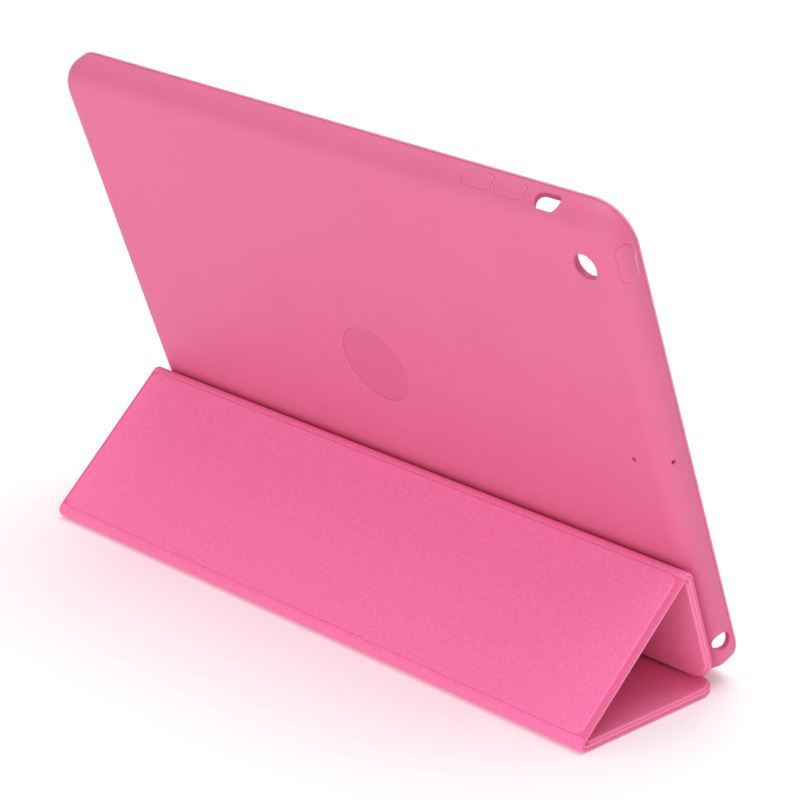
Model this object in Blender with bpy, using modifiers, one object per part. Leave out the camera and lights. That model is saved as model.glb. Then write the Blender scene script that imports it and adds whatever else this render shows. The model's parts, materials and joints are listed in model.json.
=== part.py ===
"""Folio case for a 10 inch class tablet, standing on its folded cover.

A leather-skinned tray holds the tablet.  A narrow spine joins the tray's lower long edge to
a cover of three stiffened panels.  The cover is folded behind the tray into a triangle: the
base panel lies on the table, the rear panel slopes up from it and the tip panel comes down
along the back of the tray.

World axes: X along the tray's long side, Y away from the viewer of the back, Z up.  The
origin is under the middle of the whole case, on the table.
"""

from math import cos, pi, radians, sin

import bmesh
import bpy
from mathutils import Matrix, Vector

MM = 0.001

# ---- driving dimensions -------------------------------------------------------------------
TABLET_LENGTH = 240.0 * MM
TABLET_WIDTH = 169.5 * MM
FIT = 0.25 * MM                    # room around the tablet
GAP = 0.2 * MM                     # bond line between layers of the tray
SKIN = 0.8 * MM                    # leather skin of the tray
SHELL = 1.1 * MM                   # moulded shell under the skin
FLOOR_FELT = 0.4 * MM              # microfibre sheet under the tablet
TRAY_DEPTH = 10.5 * MM
CORNER_RADIUS = 12.8 * MM          # tray corners, seen from the back
EDGE_RADIUS = 7.0 * MM             # rounding from the back to the walls
CORNER_STEPS = 7
EDGE_STEPS = 5

TRAY_WALL = SKIN + GAP + SHELL
TRAY_LENGTH = TABLET_LENGTH + 2 * (TRAY_WALL + FIT)
TRAY_WIDTH = TABLET_WIDTH + 2 * (TRAY_WALL + FIT)
TRAY_LEAN = radians(68.1)          # back of the tray, from the table
TRAY_RISE = 0.2 * MM               # height of the tray's square lower back corner

LEATHER = 0.7 * MM                 # plies of a cover panel
LINING = 0.9 * MM
PLY_GAP = 0.2 * MM
BOARD = 1.0 * MM
PANEL = LEATHER + LINING + 2 * PLY_GAP + BOARD
COVER_LENGTH = 243.4 * MM
COVER_SHIFT = 1.2 * MM             # the cover sits this far towards +X on its spine
LEATHER_STEP = 0.7 * MM            # how far each ply's border lies below its raised middle
LEATHER_BORDER = 0.9 * MM          # flat border outside the raised middle
LEATHER_SLOPE = 0.8 * MM           # width of the soft step between them
LINING_STEP = 0.25 * MM
LINING_BORDER = 3.8 * MM
LINING_SLOPE = 1.3 * MM
BOARD_MARGIN = 5.5 * MM
OUTLINE_RADIUS = 9.0 * MM          # free corners of the cover
FOLD_CORNER = 1.6 * MM             # corners beside a fold
MIDDLE_RADIUS = 4.5 * MM           # smallest corners of the raised middle
ARC_STEPS = 5
FOLD_REACH = 1.5 * MM              # panel edge to fold axis
STRIP_GAP = 0.3 * MM

BASE_RUN = 62.4 * MM               # base panel edge to rear fold axis
REAR_RUN = 58.0 * MM               # rear fold axis to top fold axis
TIP_RUN = 41.9 * MM                # top fold axis to the cover's free edge
STAND_ANGLE = radians(43.0)        # between base panel and rear panel
TIP_ANGLE = radians(69.1)          # tip panel, from the table

SPINE_THIN = 0.45 * MM             # each ply of the spine
SPINE_HALF = 0.55 * MM             # spine mid-plane to its faces
SPINE_LENGTH = 212.0 * MM
SPINE_RUN = 6.1 * MM               # tray hinge axis to base panel hinge axis
SPINE_END = 0.95 * MM              # hinge axis to the nearest panel or spine edge
SPINE_LIFT = 0.6 * MM              # height of both spine axes

BUTTON_PROUD = 0.35 * MM
BUTTON_PLAY = 0.3 * MM
BUTTON_DEPTH = 4.5 * MM            # button centre, below the back
CAP_HEIGHT = 5.0 * MM              # slot height of a button, across the wall
PLUNGER_HEIGHT = 2.8 * MM

PINK_LEATHER = (0.79, 0.17, 0.32)
PINK_FELT = (0.93, 0.17, 0.37)
PINK_SHELL = (0.60, 0.12, 0.24)
DARK_BOARD = (0.09, 0.08, 0.08)
STEEL = (0.55, 0.55, 0.56)

# ---- the stand's side view, as (y, z) from the base panel's hinge edge --------------------
REAR_AXIS = Vector((-BASE_RUN, PANEL))
TOP_AXIS = REAR_AXIS + REAR_RUN * Vector((cos(STAND_ANGLE), sin(STAND_ANGLE)))
BASE_AXIS = Vector((SPINE_END, SPINE_LIFT))
SPINE_AXIS = BASE_AXIS + Vector((SPINE_RUN, 0.0))
TRAY_CORNER = Vector((1.2 * MM, TRAY_RISE))
REAR_EDGE = REAR_AXIS.x - PANEL + LINING_STEP
FRONT_EDGE = TRAY_CORNER.x + TRAY_DEPTH * sin(TRAY_LEAN)
CENTRE_SHIFT = -(REAR_EDGE + FRONT_EDGE) / 2


# ---- scene helpers ------------------------------------------------------------------------
def clear_scene():
    for obj in list(bpy.data.objects):
        bpy.data.objects.remove(obj, do_unlink=True)


def new_collection(name):
    collection = bpy.data.collections.new(name)
    bpy.context.scene.collection.children.link(collection)
    return collection


clear_scene()
PARTS = new_collection("tablet_case")
CUTTERS = new_collection("cutters")
WALL_CUTTERS = new_collection("wall_cutters")


def finish_material(name, colour, roughness, metallic):
    material = bpy.data.materials.new(name)
    material.use_nodes = True
    shader = material.node_tree.nodes["Principled BSDF"]
    shader.inputs["Base Color"].default_value = (*colour, 1.0)
    shader.inputs["Roughness"].default_value = roughness
    shader.inputs["Metallic"].default_value = metallic
    return material


def empty_at(name, parent, y, z, turn):
    """An empty on a hinge axis: its X axis is the axis, turned about X by turn."""
    empty = bpy.data.objects.new(name, None)
    empty.empty_display_size = 0.01
    empty.location = (0.0, y, z)
    empty.rotation_euler = (turn, 0.0, 0.0)
    empty.parent = parent
    PARTS.objects.link(empty)
    return empty


def add_object(name, bm, parent, finish=None, collection=None):
    """Turn a bmesh into an object; without a finish it is a cutter."""
    mesh = bpy.data.meshes.new(name)
    bmesh.ops.recalc_face_normals(bm, faces=bm.faces)
    bm.to_mesh(mesh)
    bm.free()
    obj = bpy.data.objects.new(name, mesh)
    obj.parent = parent
    if finish is None:
        obj.hide_render = True
        obj.display_type = "WIRE"
        (collection or CUTTERS).objects.link(obj)
        return obj
    mesh.materials.append(finish_material(name + "_finish", *finish))
    mesh.shade_smooth()
    mesh.set_sharp_from_angle(angle=radians(35))
    PARTS.objects.link(obj)
    return obj


def thicken(obj, thickness):
    """Thicken an open surface away from its normals."""
    solid = obj.modifiers.new("thickness", "SOLIDIFY")
    solid.thickness = thickness
    solid.offset = -1.0
    solid.use_even_offset = True


def cut(obj, cutter, operation="DIFFERENCE"):
    boolean = obj.modifiers.new("cut", "BOOLEAN")
    boolean.operation = operation
    boolean.solver = "EXACT"
    if isinstance(cutter, bpy.types.Collection):
        boolean.operand_type = "COLLECTION"
        boolean.collection = cutter
    else:
        boolean.object = cutter


# ---- shape helpers ------------------------------------------------------------------------
def along(edge, axis):
    """Whether an edge runs along world axis 0, 1 or 2."""
    run = edge.verts[1].co - edge.verts[0].co
    return abs(run[axis]) > 0.99 * run.length


def box_bmesh(low, high):
    bm = bmesh.new()
    bmesh.ops.create_cube(bm, size=1.0)
    low = Vector(low)
    high = Vector(high)
    bmesh.ops.scale(bm, vec=high - low, verts=bm.verts)
    bmesh.ops.translate(bm, vec=(low + high) / 2, verts=bm.verts)
    return bm


def rounded_box(low, high, axis, radius, steps=ARC_STEPS):
    """A box whose edges along one axis are rounded."""
    bm = box_bmesh(low, high)
    edges = [edge for edge in bm.edges if along(edge, axis)]
    bmesh.ops.bevel(bm, geom=edges, offset=radius, segments=steps, profile=0.5, affect="EDGES")
    return bm


def slot_prism(centre, size, axis):
    """A prism with round ends: size is (length, height, run along axis)."""
    others = [i for i in range(3) if i != axis]
    half = Vector((0.0, 0.0, 0.0))
    half[others[0]] = size[0] / 2
    half[others[1]] = size[1] / 2
    half[axis] = size[2] / 2
    centre = Vector(centre)
    return rounded_box(centre - half, centre + half, axis, 0.495 * min(size[0], size[1]))


def disc_bmesh(centre, radius, depth, axis, segments=24):
    """A closed disc or rod whose middle is at centre, along world axis 0, 1 or 2."""
    turns = (Matrix.Rotation(pi / 2, 4, "Y"), Matrix.Rotation(pi / 2, 4, "X"), Matrix.Identity(4))
    bm = bmesh.new()
    bmesh.ops.create_cone(
        bm, cap_ends=True, segments=segments, radius1=radius, radius2=radius, depth=depth,
        matrix=Matrix.Translation(centre) @ turns[axis],
    )
    return bm


def arc_points(centre, radius, start, end, steps):
    """Points of an arc, both ends included."""
    angles = [start + (end - start) * i / steps for i in range(steps + 1)]
    return [Vector((centre[0] + radius * cos(a), centre[1] + radius * sin(a))) for a in angles]


def strip_bmesh(profile, length):
    """Sweep an open (y, z) profile along X into a surface."""
    bm = bmesh.new()
    verts = [bm.verts.new((-length / 2, p[0], p[1])) for p in profile]
    edges = [bm.edges.new(pair) for pair in zip(verts, verts[1:])]
    swept = bmesh.ops.extrude_edge_only(bm, edges=edges)
    moved = [item for item in swept["geom"] if isinstance(item, bmesh.types.BMVert)]
    bmesh.ops.translate(bm, vec=(length, 0.0, 0.0), verts=moved)
    return bm


def strip(name, parent, profile, length, thickness, finish):
    """A flexible strip: the profile is its middle line."""
    obj = add_object(name, strip_bmesh(profile, length), parent, finish)
    thicken(obj, thickness)
    obj.modifiers["thickness"].offset = 0.0
    return obj


# ---- the tray -----------------------------------------------------------------------------
def tray_bmesh(inset, front_inset, rim):
    """The tray's surface, open at the front, inset from the outer form.

    It lies face down: back on z = -inset, lower long wall near y = 0.  A rim wider than zero
    turns in over the open front.
    """
    front = -TRAY_DEPTH + front_inset
    half = TRAY_LENGTH / 2 - inset
    bm = rounded_box((-half, inset, front), (half, TRAY_WIDTH - inset, -inset), 2,
                     CORNER_RADIUS - inset, CORNER_STEPS)
    back = next(face for face in bm.faces if face.normal.z > 0.9)
    bmesh.ops.bevel(bm, geom=back.edges, offset=EDGE_RADIUS - inset, segments=EDGE_STEPS,
                    profile=0.5, affect="EDGES")
    mouth = next(face for face in bm.faces if face.normal.z < -0.9)
    if rim > 0:
        bmesh.ops.inset_region(bm, faces=[mouth], thickness=rim, use_even_offset=True)
    bmesh.ops.delete(bm, geom=[mouth], context="FACES_ONLY")
    return bm


def tray_layer(name, frame, inset, thickness, finish, front_inset=0.0, rim=0.0):
    obj = add_object(name, tray_bmesh(inset, front_inset, rim), frame, finish)
    thicken(obj, thickness)
    return obj


WALL_RUN = 14.0 * MM               # length of a cutter through a wall
CAMERA_RADIUS = 4.3 * MM
MARK_RADIUS = 14.0 * MM
MARK_DEPTH = 0.3 * MM


def wall_cutter(name, bm, frame):
    return add_object(name, bm, frame, collection=WALL_CUTTERS)


def make_wall_cutters(frame):
    """Openings through skin and shell.  Right is the camera's end of the tray."""
    right = TRAY_LENGTH / 2
    top = TRAY_WIDTH
    camera = (right - 13.3 * MM, top - 17.8 * MM, -TRAY_WALL / 2)
    wall_cutter("camera_cutter", disc_bmesh(camera, CAMERA_RADIUS, 2 * WALL_RUN / 3, 2), frame)
    microphone = (right - 13.6 * MM, top - 87.8 * MM, -TRAY_WALL / 2)
    wall_cutter("rear_microphone_cutter",
                disc_bmesh(microphone, 0.8 * MM, 2 * WALL_RUN / 3, 2, 12), frame)
    side = (right, top - 87.0 * MM, -3.8 * MM)
    wall_cutter("side_microphone_cutter", disc_bmesh(side, 0.7 * MM, WALL_RUN, 0, 12), frame)
    jack = (right, 15.4 * MM, -5.1 * MM)
    wall_cutter("headphone_cutter", disc_bmesh(jack, 3.1 * MM, WALL_RUN, 0), frame)
    switch = (right - 26.2 * MM, top, -4.1 * MM)
    wall_cutter("mute_switch_cutter",
                slot_prism(switch, (9.2 * MM, 4.9 * MM, WALL_RUN), 1), frame)
    port = (-right, top / 2, -5.6 * MM)
    wall_cutter("charging_port_cutter",
                slot_prism(port, (13.0 * MM, 6.2 * MM, WALL_RUN), 0), frame)
    for side_name, sign in (("upper", 1), ("lower", -1)):
        speaker = (-right, top / 2 + sign * 34.0 * MM, -5.6 * MM)
        wall_cutter(side_name + "_speaker_cutter",
                    slot_prism(speaker, (30.0 * MM, 2.6 * MM, WALL_RUN), 0), frame)


def button(name, frame, centre, length, axis):
    """A leather cap and its moulded plunger, in a slot of the tray's rounded edge."""
    wall_cutter(name + "_slot_cutter",
                slot_prism(centre, (length, CAP_HEIGHT, WALL_RUN), axis), frame)
    cap_height = CAP_HEIGHT - 2 * BUTTON_PLAY
    layers = (
        ("cap", -BUTTON_PROUD, SKIN, BUTTON_PLAY, cap_height, (PINK_LEATHER, 0.55, 0.0)),
        ("plunger", SKIN - BUTTON_PROUD + GAP, SHELL, 3 * BUTTON_PLAY, PLUNGER_HEIGHT,
         (PINK_SHELL, 0.5, 0.0)),
    )
    for kind, inset, thickness, play, height, finish in layers:
        obj = tray_layer(name + "_" + kind, frame, inset, thickness, finish)
        size = (length - 2 * play, height, WALL_RUN)
        cutter = add_object(name + "_" + kind + "_cutter", slot_prism(centre, size, axis), frame)
        cut(obj, cutter, "INTERSECT")


def make_tray(frame):
    right = TRAY_LENGTH / 2
    make_wall_cutters(frame)
    button("volume_up", frame, (right - 40.9 * MM, TRAY_WIDTH, -BUTTON_DEPTH), 12.2 * MM, 1)
    button("volume_down", frame, (right - 53.9 * MM, TRAY_WIDTH, -BUTTON_DEPTH), 12.2 * MM, 1)
    button("power_button", frame, (right, TRAY_WIDTH - 16.0 * MM, -BUTTON_DEPTH), 12.7 * MM, 0)

    skin = tray_layer("back_leather", frame, 0.0, SKIN, (PINK_LEATHER, 0.55, 0.0),
                      rim=TRAY_WALL)
    cut(skin, WALL_CUTTERS)
    mark_centre = (0.0, TRAY_WIDTH / 2, 0.0)
    mark = add_object("mark_cutter", disc_bmesh(mark_centre, MARK_RADIUS, 2 * MARK_DEPTH, 2, 48),
                      frame)
    cut(skin, mark)

    shell = tray_layer("back_shell", frame, SKIN + GAP, SHELL, (PINK_SHELL, 0.5, 0.0),
                       front_inset=SKIN + GAP)
    cut(shell, WALL_CUTTERS)

    margin = TRAY_WALL + 4.0 * MM
    top = -TRAY_WALL - GAP
    felt = add_object("floor_lining", rounded_box(
        (-right + margin, margin, top - FLOOR_FELT), (right - margin, TRAY_WIDTH - margin, top),
        2, CORNER_RADIUS - margin), frame, (PINK_FELT, 0.9, 0.0))
    cut(felt, WALL_CUTTERS)


def make_spine_anchor(frame):
    """The spine's glued edge, wrapped round the tray's lower back rounding."""
    centre = (EDGE_RADIUS, -EDGE_RADIUS)
    lowest = -pi / 2 - (pi - TRAY_LEAN)
    radius = EDGE_RADIUS + STRIP_GAP + SPINE_THIN / 2
    profile = arc_points(centre, radius, lowest - radians(2), lowest - radians(36), 6)
    strip("spine_anchor", frame, profile, SPINE_LENGTH, SPINE_THIN, (PINK_LEATHER, 0.55, 0.0))


# ---- the spine ----------------------------------------------------------------------------
def make_spine(frame):
    """Two thin plies lying between the tray hinge and the base panel hinge."""
    half = SPINE_LENGTH / 2
    near = -SPINE_RUN + SPINE_END
    far = -0.8 * MM
    inner = SPINE_HALF - SPINE_THIN
    add_object("spine_leather", rounded_box((-half, near, inner), (half, far, SPINE_HALF), 2,
                                            1.0 * MM), frame, (PINK_LEATHER, 0.55, 0.0))
    add_object("spine_lining", rounded_box((-half, near, -SPINE_HALF), (half, far, -inner), 2,
                                           1.0 * MM), frame, (PINK_FELT, 0.9, 0.0))
    # the leather turns back over the spine to meet the anchor under the tray
    anchor_low = TRAY_RISE + EDGE_RADIUS * (sin(TRAY_LEAN) + cos(TRAY_LEAN) - 1) - STRIP_GAP
    anchor_mid = anchor_low - SPINE_THIN / 2 - SPINE_LIFT
    ply_mid = SPINE_HALF - SPINE_THIN / 2
    turn_radius = (anchor_mid - ply_mid) / 2
    turn_centre = (-0.2 * MM, ply_mid + turn_radius)
    profile = [Vector((far + STRIP_GAP, ply_mid))]
    profile += arc_points(turn_centre, turn_radius, -pi / 2, pi / 2, 8)
    profile += [Vector((-1.4 * MM, anchor_mid))]
    strip("root_fold_leather", frame, profile, SPINE_LENGTH, SPINE_THIN,
          (PINK_LEATHER, 0.55, 0.0))


def make_base_fold(frame):
    """Two thin plies stepping down from the base panel's border to the spine."""
    reach = SPINE_END - STRIP_GAP
    leather_border = PANEL - LEATHER_STEP - LEATHER / 2 - SPINE_LIFT
    lining_border = LINING_STEP + LINING / 2 - SPINE_LIFT
    drops = (
        ("base_fold_leather", leather_border, SPINE_HALF - SPINE_THIN / 2,
         (PINK_LEATHER, 0.55, 0.0)),
        ("base_fold_lining", lining_border, SPINE_THIN / 2 - SPINE_HALF,
         (PINK_FELT, 0.9, 0.0)),
    )
    steps = 6
    for name, start, end, finish in drops:
        profile = []
        for i in range(steps + 1):
            t = i / steps
            ease = t * t * (3 - 2 * t)
            profile.append(Vector((-reach + 2 * reach * t, start + (end - start) * ease)))
        strip(name, frame, profile, SPINE_LENGTH, SPINE_THIN, finish)


# ---- the cover panels ---------------------------------------------------------------------
def outline(half_length, near, far, near_radius, far_radius):
    """A rounded rectangle from y = near back to y = far, counter-clockwise from above."""
    corners = (
        (half_length, near, near_radius, 0.0),
        (-half_length, near, near_radius, pi / 2),
        (-half_length, far, far_radius, pi),
        (half_length, far, far_radius, 3 * pi / 2),
    )
    points = []
    for x, y, radius, start in corners:
        centre = (x - radius * (1 if x > 0 else -1), y - radius * (1 if y == near else -1))
        points += arc_points(centre, radius, start, start + pi / 2, ARC_STEPS)
    return points


def ply(name, frame, ends, radii, border, slope, levels, thickness, finish):
    """One ply of a panel: flat border, soft step, flat raised middle.

    ends are y of the near and far edges, radii their corners; levels are the outer heights
    of the border and of the middle, and the ply is thickened towards the board.
    """
    half = COVER_LENGTH / 2
    near, far = ends
    rise = border + slope
    middle_radii = [max(radius - rise, MIDDLE_RADIUS) for radius in radii]
    foot_radii = [radius + slope for radius in middle_radii]
    loops = (
        (outline(half, near, far, *radii), levels[0]),
        (outline(half - border, near - border, far + border, *foot_radii), levels[0]),
        (outline(half - rise, near - rise, far + rise, *middle_radii), levels[1]),
    )
    bm = bmesh.new()
    rings = []
    for loop, z in loops:
        verts = [bm.verts.new((p.x, p.y, z)) for p in loop]
        ring = [bm.edges.new(pair) for pair in zip(verts, verts[1:] + verts[:1])]
        rings.append((verts, ring))
    for (_, outer), (_, inner) in zip(rings, rings[1:]):
        bmesh.ops.bridge_loops(bm, edges=outer + inner)
    bm.faces.new(rings[-1][0])
    obj = add_object(name, bm, frame, finish)
    face_towards(obj, levels[1] - levels[0])
    thicken(obj, thickness)


def panel(name, frame, near, far, radii, top):
    """Leather, board and lining of one panel, from y = near back to y = far.

    top is the height of the raised leather above the panel's hinge axis.  Returns the board.
    """
    ply(name + "_leather", frame, (near, far), radii, LEATHER_BORDER, LEATHER_SLOPE,
        (top - LEATHER_STEP, top), LEATHER, (PINK_LEATHER, 0.55, 0.0))
    bottom = top - PANEL
    ply(name + "_lining", frame, (near, far), radii, LINING_BORDER, LINING_SLOPE,
        (bottom + LINING_STEP, bottom), LINING, (PINK_FELT, 0.9, 0.0))
    inner = COVER_LENGTH / 2 - BOARD_MARGIN
    board_top = top - LEATHER - PLY_GAP
    board_bm = rounded_box((-inner, far + BOARD_MARGIN, board_top - BOARD),
                           (inner, near - BOARD_MARGIN, board_top), 2, MIDDLE_RADIUS)
    return add_object(name + "_board", board_bm, frame, (DARK_BOARD, 0.8, 0.0))


def face_towards(obj, way):
    """Make an open sheet's normals point up (way above zero) or down."""
    mesh = obj.data
    if mesh.polygons[-1].normal.z * way < 0:
        mesh.flip_normals()


def inlay(name, frame, board, bm, cutter_bm, finish):
    """A metal piece in its own pocket through a board."""
    add_object(name, bm, frame, finish)
    cut(board, add_object(name + "_pocket_cutter", cutter_bm, frame))


MAGNET_RADIUS = 4.0 * MM
MAGNET = 0.7 * MM
POCKET_PLAY = 0.3 * MM
MAGNET_COUNT = 5
MAGNET_PITCH = 44.0 * MM


def make_magnets(frame, board, y, z):
    for i in range(MAGNET_COUNT):
        x = (i - (MAGNET_COUNT - 1) / 2) * MAGNET_PITCH
        inlay("tip_magnet_%d" % (i + 1), frame, board,
              disc_bmesh((x, y, z), MAGNET_RADIUS, MAGNET, 2, 20),
              disc_bmesh((x, y, z), MAGNET_RADIUS + POCKET_PLAY, 3 * BOARD, 2, 20),
              (STEEL, 0.3, 1.0))
    x = COVER_LENGTH / 2 - 16.0 * MM
    size = (6.0 * MM, 12.0 * MM, MAGNET)
    pocket = (size[0] + 2 * POCKET_PLAY, size[1] + 2 * POCKET_PLAY, 3 * BOARD)
    inlay("wake_magnet", frame, board, slot_prism((x, y + 8.0 * MM, z), size, 2),
          slot_prism((x, y + 8.0 * MM, z), pocket, 2), (STEEL, 0.3, 1.0))


def make_fold(name, frame, turn):
    """The two plies round a fold axis; the next panel is turned by -turn about it."""
    reach = FOLD_REACH - STRIP_GAP
    steps = 10
    onward = Vector((cos(pi - turn), sin(pi - turn)))
    plies = (
        ("leather", LEATHER_STEP + LEATHER / 2, LEATHER, (PINK_LEATHER, 0.55, 0.0)),
        ("lining", PANEL - LINING_STEP - LINING / 2, LINING, (PINK_FELT, 0.9, 0.0)),
    )
    for kind, radius, thickness, finish in plies:
        profile = [Vector((reach, -radius))]
        profile += arc_points((0.0, 0.0), radius, -pi / 2, -pi / 2 - turn, steps)
        profile.append(profile[-1] + reach * onward)
        strip(name + "_" + kind, frame, profile, COVER_LENGTH - 2 * FOLD_CORNER, thickness,
              finish)


def build():
    origin = empty_at("stand_origin", None, CENTRE_SHIFT, 0.0, 0.0)
    tray = empty_at("tray_frame", origin, TRAY_CORNER.x, TRAY_CORNER.y, pi - TRAY_LEAN)
    make_tray(tray)
    make_spine_anchor(tray)

    spine = empty_at("spine_hinge", origin, SPINE_AXIS.x, SPINE_AXIS.y, 0.0)
    make_spine(spine)

    base = empty_at("base_hinge", spine, -SPINE_RUN, 0.0, 0.0)
    base.location.x = COVER_SHIFT
    make_base_fold(base)
    base_top = PANEL - SPINE_LIFT
    base_far = -SPINE_END - BASE_RUN
    base_board = panel("base_panel", base, -SPINE_END, base_far + FOLD_REACH,
                       (OUTLINE_RADIUS, FOLD_CORNER), base_top)
    keeper_z = base_top - LEATHER - PLY_GAP - BOARD / 2
    keeper = (188.0 * MM, 8.0 * MM, MAGNET)
    pocket = (keeper[0] + 2 * POCKET_PLAY, keeper[1] + 2 * POCKET_PLAY, 3 * BOARD)
    keeper_centre = (0.0, -SPINE_END - BOARD_MARGIN - 6.1 * MM, keeper_z)
    inlay("keeper_plate", base, base_board, slot_prism(keeper_centre, keeper, 2),
          slot_prism(keeper_centre, pocket, 2), (STEEL, 0.35, 1.0))

    rear_fold = empty_at("rear_fold_axis", base, base_far, base_top, 0.0)
    make_fold("rear_fold", rear_fold, pi - STAND_ANGLE)
    rear = empty_at("rear_hinge", rear_fold, 0.0, 0.0, STAND_ANGLE - pi)
    panel("rear_panel", rear, -FOLD_REACH, FOLD_REACH - REAR_RUN, (FOLD_CORNER, FOLD_CORNER),
          0.0)

    top_turn = TIP_ANGLE + STAND_ANGLE
    top_fold = empty_at("top_fold_axis", rear, -REAR_RUN, 0.0, 0.0)
    make_fold("top_fold", top_fold, top_turn)
    tip = empty_at("tip_hinge", top_fold, 0.0, 0.0, -top_turn)
    tip_board = panel("tip_panel", tip, -FOLD_REACH, -TIP_RUN, (FOLD_CORNER, OUTLINE_RADIUS),
                      0.0)
    make_magnets(tip, tip_board, -TIP_RUN + BOARD_MARGIN + 5.6 * MM,
                 -LEATHER - PLY_GAP - BOARD / 2)


build()
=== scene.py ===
"""Looks of the standing tablet folio case.

Every leather and microfibre surface is built here from closed loops in millimetres, in the
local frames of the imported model: the tray's, the spine's and each cover panel's.
"""

import json
from collections import namedtuple
from math import asin, atan2, cos, hypot, pi, radians, sin

import bmesh
import bpy
from mathutils import Matrix, Vector


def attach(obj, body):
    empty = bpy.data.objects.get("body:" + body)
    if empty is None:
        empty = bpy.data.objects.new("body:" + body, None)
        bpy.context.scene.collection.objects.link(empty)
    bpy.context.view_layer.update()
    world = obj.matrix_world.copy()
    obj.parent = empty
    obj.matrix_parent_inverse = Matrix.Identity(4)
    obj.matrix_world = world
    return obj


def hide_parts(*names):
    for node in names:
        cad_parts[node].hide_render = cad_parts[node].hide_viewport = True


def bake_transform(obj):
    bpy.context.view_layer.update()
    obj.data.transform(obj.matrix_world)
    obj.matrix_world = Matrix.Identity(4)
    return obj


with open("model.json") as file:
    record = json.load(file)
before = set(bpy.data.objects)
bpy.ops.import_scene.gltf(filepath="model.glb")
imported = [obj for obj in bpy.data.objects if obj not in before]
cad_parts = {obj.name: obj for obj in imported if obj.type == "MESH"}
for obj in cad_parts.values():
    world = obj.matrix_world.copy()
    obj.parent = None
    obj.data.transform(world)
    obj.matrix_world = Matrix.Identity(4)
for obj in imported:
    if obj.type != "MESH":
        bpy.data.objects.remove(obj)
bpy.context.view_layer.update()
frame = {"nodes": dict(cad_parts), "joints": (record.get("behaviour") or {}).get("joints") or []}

MM = 0.001

# ---- dimensions, in millimetres -------------------------------------------------------------
TRAY_HALF = 122.35
TRAY_WIDTH = 174.2
TRAY_DEPTH = 10.5
TRAY_CORNER = 12.8
EDGE = 7.0                  # rounding from the back to the walls
SKIN = 0.8
SKIN_GAP = 0.2
SHELL = 1.1
WALL = SKIN + SKIN_GAP + SHELL
TRAY_OFFSET = (0.0, 0.25, -0.4)     # tray corner, from the base panel's hinge
FLAT_INSETS = (10.0, 8.0)           # rings on the flat of the back, inside the rounding
FRONT_ROLL = 0.8                    # leather's rounding over the front edge
INNER_ROLL = 0.35
SHELL_BEVEL = 0.15
SHELL_INNER_BEVEL = 0.3
FLOOR_LINING = 0.4                  # thickness of the microfibre on the floor
FLOOR_MARGIN = 4.0
FLOOR_EDGE = ((4.0, 0.0), (0.2, 0.0), (0.05, 0.06), (0.0, 0.2))     # (inset, drop), outwards
FLOOR_HOLE_SPARE = 0.6      # the floor's holes are this much wider
FLOOR_CUT = 0.5             # their cutters' reach beyond the back

# Groove round the wall behind the front edge: (inset, distance from the front edge).
GROOVE = ((0.0, 1.56), (0.06, 1.5), (0.25, 1.42), (0.25, 1.26), (0.06, 1.16))
GROOVE_END = 1.1

COVER_HALF = 121.7
COVER_SHIFT = 1.2           # how far the cover sits towards +X
PANEL = 3.0
LEATHER_STEP = 0.7
LINING_STEP = 0.36
LEATHER_EDGE = 0.8          # depth of the visible edge
LINING_EDGE = 1.0
LEATHER_ROLL = 0.22         # rounding of that edge
LINING_ROLL = 0.4
INNER_RINGS = (3.2, 5.0, 8.0)
MIDDLE_RINGS = (2.5, 0.4)   # rings on the raised middle, inside its slope
LEATHER_INNER = 0.1         # hidden face, below the leather's border
LINING_INNER = 0.88         # hidden face, above the microfibre's raised middle
BACK_CHAMFER = 0.1          # of a sheet's other face
OUTLINE_RADIUS = 9.0
SMALL_CORNER = 0.3          # smallest radius of a free corner or of a raised middle
SHARP = 0.05                # radius of the corners beside a fold
SPINE_END = 0.95
SPINE_LIFT = 0.6
SPINE_RUN = 6.1
SPINE_HALF = 0.55
SPINE_THIN = 0.45
SPINE_HALF_LENGTH = 106.0
SPINE_ROLL = 0.15
SPINE_INNER = 1.2
SPINE_CORNER = 1.0
SPINE_START = 0.8           # tray hinge axis to the spine's plies
FOLD_SHORT = 0.3            # the base fold's plies end this much short of SPINE_END
BASE_FOLD_LINING = 0.9      # depth of its microfibre at the base panel
ROOT_LAP = 0.1              # the turned-back leather's start inside the spine's
ROOT_CENTRE = -0.2          # Y of its round stretch
ROOT_END = -1.7             # Y of its end under the tray
ROOT_ROLL = 0.12
GLUE_GAP = 0.3              # tray's rounding to the leather glued under it
GLUED_THINNER = 0.02
GLUED_START = 2.0           # degrees round the rounding, from its lowest line
GLUED_SPAN = 34.0
FOLD_REACH = 0.5
TIP_RUN = 41.9
TIP_LEAN = radians(69.1)

BUTTON_DEPTH = 4.5
BUTTON_HEIGHT = 5.0
BUTTON_CORNER = 2.3
MARK_RADIUS = 14.0
MARK_DEPTH = 0.30
MARK_LIP = 0.22

# Rings of a button's pad and of the pressed mark: (growth of the outline, height).
PAD_RINGS = (
    (-2.4, 0.34), (-1.9, 0.34), (-1.3, 0.32), (-0.85, 0.28), (-0.5, 0.21),
    (-0.28, 0.12), (-0.14, 0.02), (-0.08, -0.10), (-0.05, -0.24), (-0.05, -0.5),
)
MARK_RINGS = ((-4.0, -0.20), (-0.30, -0.20), (-0.12, -0.22), (-0.05, -0.28), (-0.05, -0.295))

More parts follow.
